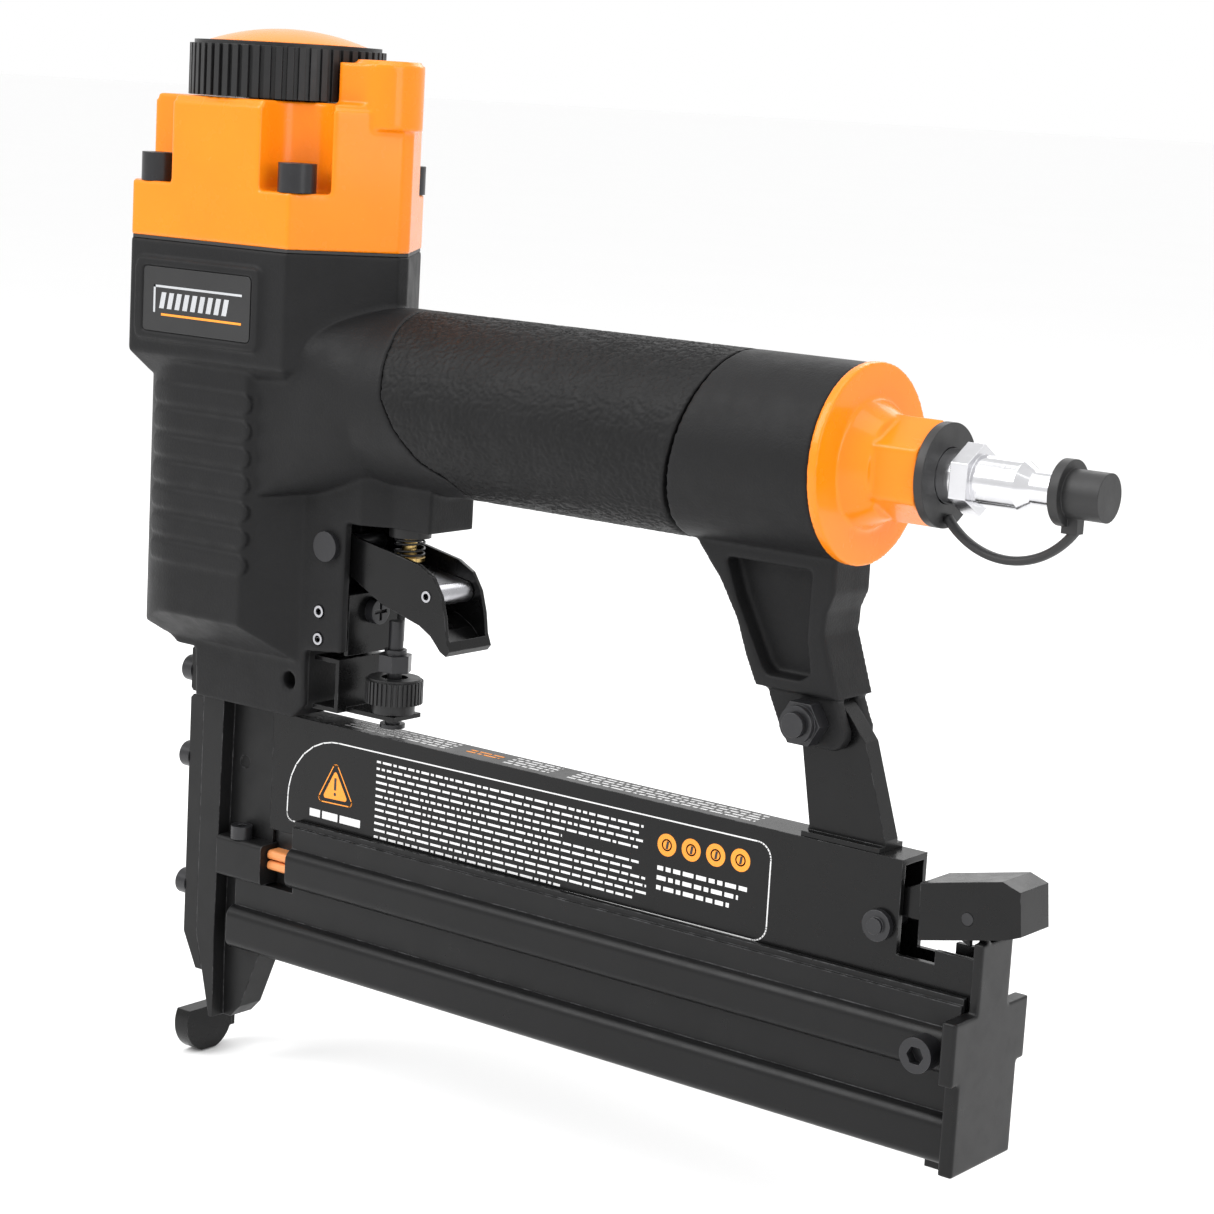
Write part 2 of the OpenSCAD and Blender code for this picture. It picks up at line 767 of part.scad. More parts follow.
module guide_screw() {
    color([0.08, 0.08, 0.085]) place() difference() {
        union() {
            x_post(3.5, plate_x + sheet, plate_x + sheet + 2.6, 0, 136);
            x_post(1.8, web_x + sheet + gap, plate_x + sheet + 0.1, 0, 136);
        }
        span(plate_x + 2.8, plate_x + 5, -0.5, 0.5, 133.6, 138.4);
        span(plate_x + 2.8, plate_x + 5, -2.4, 2.4, 135.5, 136.5);
    }
}

// Folded bracket that carries the depth rod behind the nose
module safety_bracket() {
    color([0.06, 0.06, 0.065]) place() difference() {
        union() {
            span(web_x, web_x + sheet, -9, 9, bracket_z0, bracket_z1);
            span(34.3, web_x + 0.1, -9, 9, bracket_z0, bracket_z0 + sheet);
            span(34.3, web_x + 0.1, -9, 9, bracket_z1 - sheet, bracket_z1);
            span(web_x, 60, -5.5, 5.5, bracket_z0, bracket_z0 + sheet);
        }
        z_post(rod_r + fit, 100, 140, rod_x);
    }
}

// Long arm on the far side of the nose, from the bracket down to the foot
module safety_arm() {
    color([0.06, 0.06, 0.065]) place() difference() {
        side_slab(arm_y, arm_y + sheet) polygon([
            [foot_front, 5], [foot_front + foot_t, 5], [foot_front + foot_t, 14], [-3.6, 32],
            [0, 44], [0, bracket_z0], [34.3, bracket_z0],
            [34.3, bracket_z0 + arm_band], [-3, bracket_z0 + arm_band], [-7, bracket_z0],
            [-7, 40], [foot_front, 24]
        ]);
        for (z = arm_screw_z) side_slab(arm_y - 1, arm_y + 4)
            round_rect(arm_screw_x - 2.1, arm_screw_x + 2.1, z - foot_travel - 2.1, z + 2.1, 2.05);
    }
}

module contact_foot() {
    color([0.05, 0.05, 0.055]) place() union() {
        cross_slab(foot_front, foot_front + foot_t) intersection() {
            translate([0, 8.6]) circle(foot_half);
            translate([-20, 0]) square([20 + arm_y, 12.6]);
        }
        cross_slab(foot_front, foot_front + foot_t)
            translate([foot_half - 1.6, 5]) square([arm_y - foot_half + 1.6, 7.6]);
    }
}

module safety_spring() {
    color([0.4, 0.4, 0.42]) place() translate([37, 0, bracket_z1]) tube(3.5, 2.6, seat_z - bracket_z1);
}

module depth_rod() {
    color([0.1, 0.1, 0.11]) place() {
        z_post(rod_r, 105.6, rod_top, rod_x);
        z_post(3.4, 105.6, 106.7, rod_x);
    }
}

module depth_nut() {
    color([0.1, 0.1, 0.11]) place() translate([rod_x, 0, 0]) difference() {
        union() {
            translate([0, 0, wheel_z + wheel_h + 1.6]) cylinder(r = 4.6, h = 4.6, $fn = 6);
            z_post(3, wheel_z + wheel_h + 6, wheel_z + wheel_h + 7.6);
        }
        z_post(rod_r + 0.02, 100, 140);
    }
}

module depth_wheel() {
    color([0.06, 0.06, 0.065]) place() translate([rod_x, 0, wheel_z]) difference() {
        union() {
            translate([0, 0, 2.8]) linear_extrude(wheel_h - 3.4) ribbed(wheel_r, 36, 0.5);
            cylinder(r = wheel_r - 2, h = 3);
            translate([0, 0, wheel_h - 0.7]) cylinder(r = wheel_r - 0.8, h = 0.7);
        }
        translate([0, 0, -1]) cylinder(r = rod_r + fit, h = wheel_h + 2);
        translate([0, 0, wheel_h - 1.6]) cylinder(r = 3.6, h = 2);
    }
}

// Driver guide: the wide block in front and the narrow neck that meets the magazine
module nose_body() {
    color([0.06, 0.06, 0.065]) place() difference() {
        union() {
            side_slab(-nose_half, nose_half) polygon([
                [nose_front, nose_top], [nose_neck, nose_top], [nose_neck, door_top],
                [nose_rear, door_top], [nose_rear - 1, slide_z0], [0.2, nose_low],
                [-1.2, nose_low], [nose_front, 36.5]
            ]);
            side_slab(-neck_half, neck_half) polygon([
                [nose_front + 2, door_top + 1], [nose_neck, door_top + 1], [nose_neck, clamp_z0],
                [window_front - gap, clamp_z0], [window_front - gap, slide_z0 - gap],
                [13.1, slide_z0 - gap], [13.1, 33.4], [6.5, 17], [3, nose_low],
                [-1.2, nose_low], [nose_front + 2, slide_z0]
            ]);
        }
        // Driver channel and the way for the fasteners
        span(-channel, channel, -track_half, track_half, nose_low - 1, nose_top + 1);
        span(-channel, nose_neck + 1, -track_half, track_half, slide_z0 + slide_wall, 90);
        for (z = door_screw_z, y = [-1, 1]) x_post(2 + fit, nose_front - 1, -1.4, y * screw_side, z);
        for (y = [-1, 1]) {
            x_post(2 + fit, nose_front - 1, nose_neck + 1, y * screw_side, nose_screw_z);
        }
        for (z = arm_screw_z) y_post(2 + fit, 4.5, nose_half + 1, arm_screw_x, z);
        y_post(1.8, -nose_half, -3.8, 5.4, 87.5);
    }
}

// Screw along X with its head in front
module front_screw(x, y, z, length) {
    translate([x, y, z]) rotate([0, -90, 0]) socket_screw(4, 3.6, 3.6, length, 3);
}

module nose_screws() {
    color([0.06, 0.06, 0.065]) place() for (y = [-1, 1]) {
        front_screw(door_front, y * screw_side, nose_screw_z, nose_neck - door_front + 8);
    }
}

module door_screws() {
    color([0.06, 0.06, 0.065]) place() for (y = [-1, 1], z = door_screw_z) {
        front_screw(door_front, y * screw_side, z, door_t + 5);
    }
}

module arm_screws() {
    color([0.06, 0.06, 0.065]) place() for (z = arm_screw_z) {
        translate([arm_screw_x, arm_y + sheet + 0.2, z]) rotate([-90, 0, 0])
            socket_screw(4, 3.4, 2.2, 5.5, 2.5);
    }
}

module front_door() {
    color([0.06, 0.06, 0.065]) place() difference() {
        side_slab(-nose_half, nose_half) polygon([
            [door_front + 1, door_top - 0.2], [nose_front, door_top - 0.2], [nose_front, 36.5],
            [-4.5, 26.2], [nose_front, 26.2], [door_front, 36], [door_front, door_top - 1.2]
        ]);
        for (z = door_screw_z, y = [-1, 1]) x_post(2 + fit, door_front - 1, 0, y * screw_side, z);
    }
}

module upper_plate() {
    color([0.06, 0.06, 0.065]) place() difference() {
        side_slab(-nose_half, nose_half) polygon([
            [door_front, door_top + 1.6], [door_front + 0.8, door_top + 0.8], [nose_front, door_top + 0.8],
            [nose_front, nose_top], [door_front + 0.8, nose_top], [door_front, nose_top - 0.8]
        ]);
        for (y = [-1, 1]) x_post(2 + fit, door_front - 1, 0, y * screw_side, nose_screw_z);
    }
}

// Block around the neck that clamps the nose to the magazine rail
module nose_clamp() {
    color([0.05, 0.05, 0.055]) place() difference() {
        cross_slab(nose_rear + gap, nose_neck + 1)
            round_rect(-clamp_half, clamp_half, clamp_z0 + 0.1, clamp_z1, 1.2);
        span(-5, nose_neck + 0.02, -neck_half - 0.02, neck_half + 0.02, 50, 70);
        span(-5, nose_neck + 5, -track_half, track_half, 50, 70);
        for (y = [-1, 1]) z_post(1.7, clamp_z0 - 1, clamp_z1 + 1, 8, y * clamp_screw_y);
    }
}

module clamp_screws() {
    color([0.06, 0.06, 0.065]) place() for (y = [-1, 1]) {
        translate([8, y * clamp_screw_y, clamp_z1]) socket_screw(3.3, 3, 3.6, 9, 2.5);
    }
}

// Fixed upper body of the magazine: a channel open below with a flange along each side
module magazine_body() {
    color([0.05, 0.05, 0.055]) place() difference() {
        union() {
            side_slab(-mag_half, mag_half) polygon([
                [nose_neck, body_z], [mag_end - 2.7, body_z], [mag_end - 2.7, 84.5],
                [notch_rear, 84.5], [notch_rear, notch_z], [body_rear, notch_z],
                [body_rear, mag_top], [nose_neck, mag_top]
            ]);
            span(window_x, mag_end - 4.5, -mag_half - 1.4, mag_half + 1.4, body_z, body_z + 1.5);
        }
        span(nose_neck - 1, mag_end, -mag_half + 1.5, mag_half - 1.5, body_z - 1, mag_top - 1.5);
        y_post(2 + fit, -20, 20, pin_hook_x, pin_hook_z);
    }
}

module leg_bracket() {
    color([0.05, 0.05, 0.055]) place() difference() {
        union() {
            side_slab(-bracket_half, bracket_half) polygon([
                [184.8, 137.6], [196.6, 137.6], [204.2, 128.7], [211.5, mag_top + 2.5],
                [211.5, mag_top], [189.6, mag_top], [190.2, mag_top + 2.5], [186.9, 124.4]
            ]);
            span(189.6, 211.5, -mag_half + gap, mag_half - gap, mag_top, mag_top + 1.3);
        }
        y_post(3 + fit, -20, 20, bolt_x, bolt_z);
    }
}

module leg_bolt() {
    color([0.08, 0.08, 0.085]) place() {
        y_post(3, -leg_half - 5.8, leg_half - 1.3, bolt_x, bolt_z);
        translate([bolt_x, leg_half - 1.4, bolt_z]) rotate([-90, 0, 0])
            cylinder(r = 5.77, h = 4, $fn = 6);
    }
}

module leg_nut() {
    color([0.08, 0.08, 0.085]) place() translate([bolt_x, -leg_half + 1.4, bolt_z])
        rotate([90, 0, 0]) difference() {
            union() {
                cylinder(r = 5.77, h = 4.2, $fn = 6);
                translate([0, 0, 4.1]) cylinder(r = 4.5, h = 1.6);
            }
            translate([0, 0, -1]) cylinder(r = 3.02, h = 10);
        }
}

module latch_pin() {
    color([0.08, 0.08, 0.085]) place() {
        y_post(2, -mag_half - 2.6, mag_half + 1.2, pin_hook_x, pin_hook_z);
        y_post(3.8, -mag_half - 1.6, -mag_half, pin_hook_x, pin_hook_z);
        y_post(3.8, mag_half, mag_half + 1.2, pin_hook_x, pin_hook_z);
    }
}

// Section of the magazine slide: two bulges, a neck and lips that hold the flange
module slide_section() {
    difference() {
        union() {
            round_rect(-bulge_half, bulge_half, slide_z0, slide_z0 + bulge_h, 3);
            round_rect(-bulge_half, bulge_half, upper_z0, upper_z0 + bulge_h - 1, 3);
            translate([-7.5, slide_z0 + 4]) square([15, 36]);
            translate([-mag_half - lip_out, upper_z0 + 6])
                square([2 * (mag_half + lip_out), body_z + lip_h - upper_z0 - 6]);
        }
        round_rect(-bulge_half + slide_wall, bulge_half - slide_wall, slide_z0 + slide_wall,
            slide_z0 + bulge_h - slide_wall, 1.6);
        round_rect(-bulge_half + slide_wall, bulge_half - slide_wall, upper_z0 + slide_wall,
            upper_z0 + bulge_h - 1 - slide_wall, 1.6);
        translate([-track_half, slide_z0 + slide_wall]) square([2 * track_half, 50]);
        translate([-mag_half - 1.6, body_z - 0.2]) square([2 * mag_half + 3.2, 1.9]);
        translate([-mag_half - slip, body_z + 1]) square([2 * mag_half + 2 * slip, 10]);
    }
}

module magazine_slide() {
    color([0.05, 0.05, 0.055]) place() difference() {
        cross_slab(window_front, cap_x0) slide_section();
        span(window_front - 1, window_x, -20, 20, clamp_z0 - 0.2, 90);
        y_post(2.5 + fit, -20, 0, end_screw_x, end_screw_z);
    }
}

module end_cap() {
    color([0.05, 0.05, 0.055]) place() difference() {
        union() {
            span(cap_x0, mag_end, -13.4, 13.4, slide_z0 - 1, 57.2);
            span(cap_x0, mag_end, -16.7, 16.7, 57, 72.2);
            span(mag_end - 2.4, mag_end, -7.2, 7.2, 70, 89);
            // Tongue inside the upper bulge, and the lugs of the latch
            cross_slab(tongue_x, cap_x0 + 1)
                round_rect(-bulge_half + slide_wall + gap, bulge_half - slide_wall - gap,
                    upper_z0 + slide_wall + gap, upper_z0 + bulge_h - 1 - slide_wall - gap, 1.6);
            span(cap_x0 - 8, cap_x0 + 1, -6, 6, slide_z0 - 2.8, slide_z0 - 0.02);
            for (y = [-5, 3.6]) side_slab(y, y + 1.4) polygon([
                [mag_end - 2.4, 80], [mag_end, 80], [mag_end, 97], [mag_end - 9, 97],
                [mag_end - 9, 89], [mag_end - 2.4, 86]
            ]);
        }
        span(cap_x0 - 1, mag_end - 2.4, -mag_half - gap, mag_half + gap, body_z - gap, 90);
        y_post(2.5 + fit, -20, -2, end_screw_x, end_screw_z);
        y_post(1.5 + fit, -20, 20, latch_x, latch_z);
    }
}

module end_cap_screw() {
    color([0.06, 0.06, 0.065]) place() translate([end_screw_x, -bulge_half, end_screw_z])
        rotate([90, 0, 0]) socket_screw(5, 4.25, 5, 7.5, 4);
}

// Pusher that feeds the fasteners forward, with a rib on each side
module pusher() {
    color([0.85, 0.42, 0.2]) place() union() {
        span(channel + gap, 33, -track_half + gap, track_half - gap, slide_z0 + 2.5, 84);
        for (z = [upper_z0 + 2.8, upper_z0 + 5.8]) cross_slab(nose_neck + 1.4, 33)
            round_rect(-7.6, 7.6, z, z + 2.6, 1.2);
    }
}

module pusher_spring() {
    color([0.7, 0.7, 0.72]) place() translate([33, 0, end_screw_z]) rotate([0, 90, 0])
        tube(2.9, 2, tongue_x - 33);
}

// Sheet lever over the end of the magazine, with a hook that reaches the latch pin
module latch() {
    color([0.05, 0.05, 0.055]) place() difference() {
        translate([mag_end, 0, 0]) union() {
            difference() {
                side_slab(-6.5, 6.5) polygon([
                    [-17.5, 86.2], [-18, 99.9], [3.2, 104.6], [8, 103], [9, 92.8], [5, 91.2]
                ]);
                side_slab(-5.3, 5.3) polygon([
                    [-22, 80], [-22, 97.8], [-18, 98.7], [3.1, 103.4], [6.9, 102.1],
                    [7.8, 92], [8, 80]
                ]);
            }
            side_slab(-3.3, -0.3) polygon([
                [-32.4, 90], [-32.4, 93], [-17.6, 99.6], [-2, 103], [-2, 98], [-4, 91.5], [-20, 90]
            ]);
        }
        y_post(1.5 + fit, -20, 20, latch_x, latch_z);
    }
}

module latch_axle() {
    color([0.3, 0.3, 0.32]) place() y_post(1.5, -6.6, 6.6, latch_x, latch_z);
}

module latch_spring() {
    color([0.5, 0.5, 0.52]) place() translate([latch_x, 3.2, latch_z]) rotate([90, 0, 0])
        tube(2.8, 1.52, 3.2);
}

housing();
badge_plate();
head_cap();
cap_gasket();
cap_screws();
exhaust_ring();
exhaust_dome();
exhaust_screw();
head_valve();
head_valve_spring();
cylinder_sleeve();
o_rings();
piston();
piston_ring();
driver_blade();
bumper();
grip_sleeve();
inlet_cap();
air_plug();
dust_cap_ring();
dust_cap_strap();
dust_cap();
valve_bushing();
valve_stem();
valve_spring();
trigger();
trigger_pin();
trip_lever();
trip_pin();
cheek_pins();
guide_plate();
guide_screw();
safety_bracket();
safety_arm();
contact_foot();
safety_spring();
depth_rod();
depth_nut();
depth_wheel();
nose_body();
nose_screws();
front_door();
door_screws();
upper_plate();
nose_clamp();
clamp_screws();
magazine_body();
leg_bracket();
leg_bolt();
leg_nut();
latch_pin();
magazine_slide();
end_cap();
end_cap_screw();
pusher();
pusher_spring();
latch();
latch_axle();
latch_spring();
arm_screws();
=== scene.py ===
import json
import math
import random

import bmesh
import bpy
from mathutils import Matrix, Vector, noise

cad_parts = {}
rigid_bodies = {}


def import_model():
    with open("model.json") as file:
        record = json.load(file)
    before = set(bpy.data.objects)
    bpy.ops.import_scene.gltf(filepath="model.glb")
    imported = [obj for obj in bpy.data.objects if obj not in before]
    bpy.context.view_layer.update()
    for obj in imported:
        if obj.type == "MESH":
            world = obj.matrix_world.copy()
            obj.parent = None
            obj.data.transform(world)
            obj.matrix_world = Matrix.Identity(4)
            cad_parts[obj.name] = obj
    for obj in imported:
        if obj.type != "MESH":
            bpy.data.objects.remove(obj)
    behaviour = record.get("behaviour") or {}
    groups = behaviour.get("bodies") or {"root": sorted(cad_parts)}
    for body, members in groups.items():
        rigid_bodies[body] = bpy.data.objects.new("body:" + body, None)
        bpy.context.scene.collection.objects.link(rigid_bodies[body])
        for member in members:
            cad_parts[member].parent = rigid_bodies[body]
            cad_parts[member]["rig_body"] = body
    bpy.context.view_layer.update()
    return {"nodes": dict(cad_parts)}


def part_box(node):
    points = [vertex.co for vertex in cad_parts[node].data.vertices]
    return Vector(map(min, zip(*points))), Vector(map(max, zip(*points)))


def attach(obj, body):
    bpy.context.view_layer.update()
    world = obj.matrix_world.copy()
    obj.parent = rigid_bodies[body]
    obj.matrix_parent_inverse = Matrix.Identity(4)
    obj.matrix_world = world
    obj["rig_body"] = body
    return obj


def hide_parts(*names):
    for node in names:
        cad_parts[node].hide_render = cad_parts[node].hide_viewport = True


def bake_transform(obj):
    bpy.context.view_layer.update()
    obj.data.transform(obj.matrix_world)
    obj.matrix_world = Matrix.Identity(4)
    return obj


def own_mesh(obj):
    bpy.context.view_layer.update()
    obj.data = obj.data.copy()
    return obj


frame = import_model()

NODES = frame["nodes"]
MM = 0.001
MAGAZINE_SIDE = 5.5
MAGAZINE_TOP = 103.9
HANDLE_Z = 193.7
GRIP_RADIUS = 23.5
GRAIN_FREQUENCY = 0.85
# Half-width of the painted shade band along the middle of the pusher, in millimetres.
PUSHER_GROOVE_SHADE_HALF = 3.3

# ---------------------------------------------------------------- camera

AZIMUTH = 0.643868
ELEVATION = 0.175165
ROLL = 0.0573195
LENS = 85.69
TARGET = Vector((0.13571, 0, 0.14870))
DISTANCE = 0.72252


def add_camera():
    forward = Vector((-math.sin(AZIMUTH) * math.cos(ELEVATION),
                      math.cos(AZIMUTH) * math.cos(ELEVATION), -math.sin(ELEVATION)))
    right = Vector((math.cos(AZIMUTH), math.sin(AZIMUTH), 0))
    up = right.cross(forward)
    right_rolled = math.cos(ROLL) * right + math.sin(ROLL) * up
    up_rolled = -math.sin(ROLL) * right + math.cos(ROLL) * up
    data = bpy.data.cameras.new("camera")
    data.lens = LENS
    data.sensor_width = 36
    data.clip_start = 0.01
    data.clip_end = 200
    camera = bpy.data.objects.new("camera", data)
    rotation = Matrix((right_rolled, up_rolled, -forward)).transposed().to_4x4()
    camera.matrix_world = Matrix.Translation(TARGET - forward * DISTANCE) @ rotation
    bpy.context.scene.collection.objects.link(camera)
    bpy.context.scene.camera = camera


# ---------------------------------------------------------------- materials

def socket(node, name, value):
    node.inputs[name].default_value = value


class Nodes:
    """Short way to add and link shader nodes."""

    def __init__(self, material):
        self.tree = material.node_tree
        self.tree.nodes.clear()
        self.coords = self.add("ShaderNodeTexCoord").outputs["Object"]

    def add(self, kind, **values):
        node = self.tree.nodes.new(kind)
        for name, value in values.items():
            setattr(node, name, value)
        return node

    def link(self, a, b):
        self.tree.links.new(a, b)

    def mapped(self, scale):
        mapping = self.add("ShaderNodeMapping")
        mapping.inputs["Scale"].default_value = scale
        self.link(self.coords, mapping.inputs["Vector"])
        return mapping.outputs["Vector"]

    def noise(self, scale, detail=2.0, rough=0.5, distortion=0.0, stretch=(1, 1, 1)):
        node = self.add("ShaderNodeTexNoise")
        self.link(self.mapped(stretch), node.inputs["Vector"])
        socket(node, "Scale", scale)
        socket(node, "Detail", detail)
        socket(node, "Roughness", rough)
        socket(node, "Distortion", distortion)
        return node.outputs["Fac"]

    def ramp(self, value, low, high, out_low=0.0, out_high=1.0):
        node = self.add("ShaderNodeMapRange")
        self.link(value, node.inputs["Value"])
        socket(node, "From Min", low)
        socket(node, "From Max", high)
        socket(node, "To Min", out_low)
        socket(node, "To Max", out_high)
        return node.outputs["Result"]

    def math(self, operation, a, b):
        node = self.add("ShaderNodeMath", operation=operation)
        for k, value in enumerate((a, b)):
            if isinstance(value, (int, float)):
                node.inputs[k].default_value = value
            else:
                self.link(value, node.inputs[k])
        return node.outputs[0]

    def near_middle(self, half):
        """1 within half of the tool's middle plane, and 0 beyond it."""
        apart = self.add("ShaderNodeSeparateXYZ")
        self.link(self.coords, apart.inputs[0])
        return self.math("LESS_THAN", self.math("ABSOLUTE", apart.outputs["Y"], 0), half)

    def mix(self, factor, a, b):
        node = self.add("ShaderNodeMix", data_type="RGBA")
        self.link(factor, node.inputs[0])
        for index, value in ((6, a), (7, b)):
            if isinstance(value, tuple):
                node.inputs[index].default_value = value
            else:
                self.link(value, node.inputs[index])
        return node.outputs[2]


def rgba(color, factor=1.0):
    return tuple(min(1.0, c * factor) for c in color[:3]) + (1.0,)


def grain_height(nodes, grain):
    """Height field of a surface grain, and its depth in metres."""
    if grain == "powder":
        return nodes.noise(1500, 3, 0.6), 0.00013
    if grain == "peel":
        return nodes.noise(260, 1, 0.4), 0.00004
    if grain == "brushed":
        return nodes.noise(60, 4, 0.7, stretch=(1, 40, 40)), 0.00003
    if grain == "turned":
        return nodes.noise(500, 2, 0.5, stretch=(6, 0.2, 0.2)), 0.00003
    if grain == "rubber":
        return nodes.noise(900, 2, 0.6), 0.00006
    if grain == "sheet":
        return nodes.noise(420, 2, 0.5), 0.00002
    return nodes.noise(1200, 2, 0.5), 0.00003


def surface(name, color, rough, metal=0.0, coat=0.0, grain="fine", spread=0.12, wear=None,
            edge=0.00035, strength=0.5, rough_spread=0.06, specular=0.5, groove_shade=None):
    """A shader with colour and roughness variation, rounded edges, a grain and worn edges."""
    material = bpy.data.materials.new(name)
    material.use_nodes = True
    nodes = Nodes(material)
    shader = nodes.add("ShaderNodeBsdfPrincipled")
    output = nodes.add("ShaderNodeOutputMaterial")
    nodes.link(shader.outputs[0], output.inputs[0])
    socket(shader, "Metallic", metal)
    socket(shader, "Specular IOR Level", specular)
    if coat:
        socket(shader, "Coat Weight", coat)
        socket(shader, "Coat Roughness", 0.08)
    cloud = nodes.noise(45, 3, 0.6)
    base = nodes.mix(nodes.ramp(cloud, 0.3, 0.7), rgba(color, 1 - spread), rgba(color, 1 + spread))
    speck = nodes.noise(700, 2, 0.6)
    base = nodes.mix(nodes.ramp(speck, 0.55, 0.75, 0.0, 0.5), base, rgba(color, 1 + 2 * spread))
    # Optional painted shade: near-black colour within the given half-width of the middle plane, standing in for the
    # shade in a groove.
    if groove_shade:
        base = nodes.mix(nodes.near_middle(groove_shade[1]), base, rgba(groove_shade[0]))
    roughness = nodes.ramp(nodes.noise(160, 3, 0.6), 0.3, 0.7, rough - rough_spread,
                           rough + rough_spread)
    rounded = nodes.add("ShaderNodeBevel", samples=6)
    socket(rounded, "Radius", edge)
    if wear:
        geometry = nodes.add("ShaderNodeNewGeometry")
        dot = nodes.add("ShaderNodeVectorMath", operation="DOT_PRODUCT")
        nodes.link(rounded.outputs[0], dot.inputs[0])
        nodes.link(geometry.outputs["Normal"], dot.inputs[1])
        at_edge = nodes.ramp(dot.outputs["Value"], 0.995, 0.93)
        patches = nodes.ramp(nodes.noise(260, 4, 0.7), 0.45, 0.62)
        mask = nodes.math("MULTIPLY", nodes.math("MULTIPLY", at_edge, patches), wear[1])
        base = nodes.mix(mask, base, rgba(wear[0]))
    height, depth = grain_height(nodes, grain)
    bump = nodes.add("ShaderNodeBump")
    socket(bump, "Strength", strength)
    socket(bump, "Distance", depth)
    nodes.link(height, bump.inputs["Height"])
    nodes.link(rounded.outputs[0], bump.inputs["Normal"])
    nodes.link(base, shader.inputs["Base Color"])
    nodes.link(roughness, shader.inputs["Roughness"])
    nodes.link(bump.outputs[0], shader.inputs["Normal"])
    return material


GREY_EDGE = (0.13, 0.13, 0.135)
MATERIALS = {
    "powder": surface("powder_coat", (0.0105, 0.0105, 0.011), 0.5, grain="powder", strength=0.7, specular=0.16,
                      spread=0.1, wear=((0.045, 0.045, 0.047), 0.5), edge=0.0005),
    "orange": surface("orange_gloss", (0.86, 0.225, 0.005), 0.26, coat=0.25, specular=0.22, grain="peel",
                      spread=0.035, strength=0.35, edge=0.0005, rough_spread=0.03),
    "ring": surface("ring_satin", (0.012, 0.012, 0.0125), 0.4, specular=0.35, grain="fine", spread=0.15, edge=0.0002),
    "rubber": surface("grip_rubber", (0.0095, 0.0095, 0.0098), 0.5, specular=0.16, grain="rubber", spread=0.12,
                      strength=0.6, edge=0.0006),
    "soft": surface("soft_rubber", (0.013, 0.013, 0.0135), 0.5, grain="rubber", spread=0.15,
                    strength=0.35),
    "sheet": surface("sheet_gloss", (0.004, 0.004, 0.0042), 0.25, specular=0.22, grain="sheet", spread=0.12,
                     wear=(GREY_EDGE, 0.55), edge=0.0003, strength=0.3),
    "slide": surface("slide_satin", (0.006, 0.006, 0.0063), 0.33, specular=0.22, grain="brushed", spread=0.12,
                     wear=(GREY_EDGE, 0.5), edge=0.0005, strength=0.35),
    "nose": surface("nose_oxide", (0.0085, 0.0085, 0.0088), 0.4, specular=0.22, grain="fine", spread=0.15,
                    wear=(GREY_EDGE, 0.6), edge=0.0004),
    "screw": surface("black_oxide", (0.018, 0.018, 0.02), 0.33, metal=0.3, grain="fine",
                     spread=0.2, wear=(GREY_EDGE, 0.6), edge=0.00025),
    "wire": surface("black_wire", (0.03, 0.03, 0.032), 0.3, metal=0.4, grain="fine", spread=0.15,
                    edge=0.0001),
    "steel": surface("bright_steel", (0.42, 0.42, 0.44), 0.3, metal=1.0, grain="turned",
                     spread=0.08, edge=0.00015),
    "chrome": surface("plated_steel", (0.7, 0.7, 0.72), 0.17, metal=1.0, grain="turned",
                      spread=0.05, edge=0.00025, rough_spread=0.05),
    "brass": surface("turned_brass", (0.6, 0.42, 0.16), 0.28, metal=1.0, grain="turned", spread=0.1),
    "copper": surface("copper_coat", (0.75, 0.28, 0.09), 0.4, grain="fine", spread=0.12,
                      # The pusher's middle band is painted near-black: painted shade in the groove between its two
                      # copper ribs.
                      groove_shade=((0.012, 0.012, 0.0125), PUSHER_GROOVE_SHADE_HALF * MM)),
    "acetal": surface("turned_acetal", (0.7, 0.67, 0.58), 0.45, grain="fine", spread=0.06),
    "alloy": surface("bare_alloy", (0.55, 0.56, 0.57), 0.35, metal=1.0, grain="turned", spread=0.06),
    "badge": surface("badge_black", (0.01, 0.01, 0.0105), 0.4, grain="brushed", spread=0.15,
                     strength=0.3),
    "print_white": surface("print_white", (0.72, 0.72, 0.72), 0.45, grain="fine", spread=0.06,
                           edge=0.00002),
    "print_silver": surface("print_silver", (0.55, 0.56, 0.58), 0.35, metal=0.5, grain="brushed",
                            spread=0.08, edge=0.00002),
    "print_orange": surface("print_orange", (0.9, 0.3, 0.02), 0.45, grain="fine", spread=0.06,
                            edge=0.00002),
    "print_black": surface("print_black", (0.014, 0.014, 0.014), 0.4, grain="fine", spread=0.1,
                           edge=0.00002),
}

